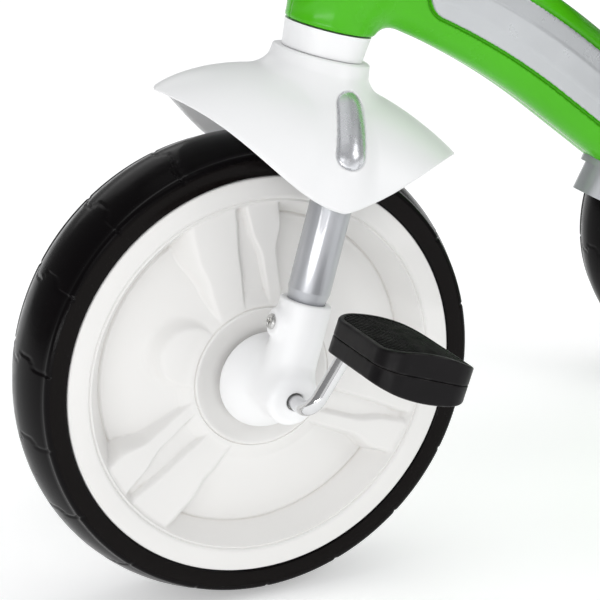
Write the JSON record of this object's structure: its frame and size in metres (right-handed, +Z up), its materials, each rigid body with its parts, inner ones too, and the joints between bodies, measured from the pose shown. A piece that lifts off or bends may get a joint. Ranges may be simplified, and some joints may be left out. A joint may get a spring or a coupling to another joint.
{
  "type": "children's tricycle",
  "caption": "Child's pedal tricycle with a large pedal-driven front wheel, sloping beam frame, low seat with a wrap-round back and a raked fork with a mudguard.",
  "frame": {"origin": "on the ground, under the centre of the bounding box", "axes": "+X forward, +Y to the rider's left, +Z up"},
  "size_m": [0.654, 0.452, 0.5667],
  "materials": {
    "tyre": "moulded foam rubber, semi-gloss, shallow tread",
    "rim_white": "warm white moulded plastic, satin",
    "shell_white": "cool white moulded plastic, glossy",
    "frame_green": "bright green, glossy",
    "panel_silver": "silver-grey moulded trim, satin",
    "tube_silver": "silver lacquer over steel tube",
    "chrome": "bright plated rod",
    "steel": "zinc-plated fastener",
    "pedal_black": "black moulded, fine ribbed tread",
    "seat_black": "black moulded, fine grain",
    "knob_black": "black moulded",
    "grip_rubber": "soft ribbed rubber",
    "bush_grey": "natural nylon"
  },
  "bodies": {
    "frame": {"frame_shell_left": "frame_green", "frame_shell_right": "frame_green", "side_panel_left": "panel_silver", "side_panel_right": "panel_silver", "head_tube": "tube_silver", "head_bushes": "bush_grey", "spine_tube_front": "tube_silver", "spine_tube_rear": "tube_silver", "seat_sleeve": "tube_silver", "rear_axle_tube": "tube_silver", "rear_axle": "steel", "axle_plugs": "bush_grey", "axle_washers": "steel", "axle_nuts": "steel"},
    "fork": {"fork_leg_left": "tube_silver", "fork_leg_right": "tube_silver", "fork_end_left": "shell_white", "fork_end_right": "shell_white", "axle_bushes": "bush_grey", "fork_screws": "steel", "fork_crown": "tube_silver", "steerer_tube": "tube_silver", "fork_collar": "shell_white", "head_nut": "knob_black", "stem_ring": "shell_white", "stem_bolt": "steel", "handlebar_stem": "tube_silver", "handlebar_clamp": "shell_white", "handlebar_cap": "shell_white", "clamp_bolts": "steel", "handlebar": "tube_silver", "grip_left": "grip_rubber", "grip_right": "grip_rubber", "mudguard": "shell_white", "mudguard_inlays": "panel_silver"},
    "front_wheel": {"front_tyre": "tyre", "front_rim_left": "rim_white", "front_rim_right": "rim_white", "front_hub_core": "bush_grey", "crank_rod": "chrome", "spindle_nuts": "steel"},
    "pedal_left": {"pedal_upper_left": "pedal_black", "pedal_lower_left": "pedal_black"},
    "pedal_right": {"pedal_upper_right": "pedal_black", "pedal_lower_right": "pedal_black"},
    "rear_wheel_left": {"rear_tyre_left": "tyre", "rear_rim_outer_left": "rim_white", "rear_rim_inner_left": "rim_white", "rear_bushes_left": "bush_grey", "rear_cap_left": "shell_white"},
    "rear_wheel_right": {"rear_tyre_right": "tyre", "rear_rim_outer_right": "rim_white", "rear_rim_inner_right": "rim_white", "rear_bushes_right": "bush_grey", "rear_cap_right": "shell_white"},
    "seat": {"seat_post": "tube_silver", "seat_bracket": "tube_silver", "seat_screws": "steel", "seat_pan": "seat_black"},
    "seat_knob": {"seat_knob": "knob_black"}
  },
  "joints": [
    {"name": "steering", "type": "hinge", "parent": "frame", "child": "fork", "pos_m": [0.14047, 0, 0.33879], "axis": [-0.2706, 0, 0.9627], "range_deg": [-45, 45]},
    {"name": "front_wheel_spin", "type": "hinge", "parent": "fork", "child": "front_wheel", "pos_m": [0.2, 0, 0.127], "axis": [0, 1, 0], "continuous": true},
    {"name": "pedal_left_spin", "type": "hinge", "parent": "front_wheel", "child": "pedal_left", "pos_m": [0.17288, 0.131, 0.16721], "axis": [0, 1, 0], "continuous": true},
    {"name": "pedal_right_spin", "type": "hinge", "parent": "front_wheel", "child": "pedal_right", "pos_m": [0.22712, -0.131, 0.08679], "axis": [0, 1, 0], "continuous": true},
    {"name": "rear_left_spin", "type": "hinge", "parent": "frame", "child": "rear_wheel_left", "pos_m": [-0.227, 0.195, 0.1], "axis": [0, 1, 0], "continuous": true},
    {"name": "rear_right_spin", "type": "hinge", "parent": "frame", "child": "rear_wheel_right", "pos_m": [-0.227, -0.195, 0.1], "axis": [0, 1, 0], "continuous": true},
    {"name": "seat_height", "type": "slide", "parent": "frame", "child": "seat", "axis": [-0.4695, 0, 0.8829], "range_m": [0, 0.03]},
    {"name": "seat_knob_turn", "type": "hinge", "parent": "frame", "child": "seat_knob", "pos_m": [-0.08815, 0, 0.25804], "axis": [0.8829, 0, 0.4695], "range_deg": [-360, 0]}
  ]
}
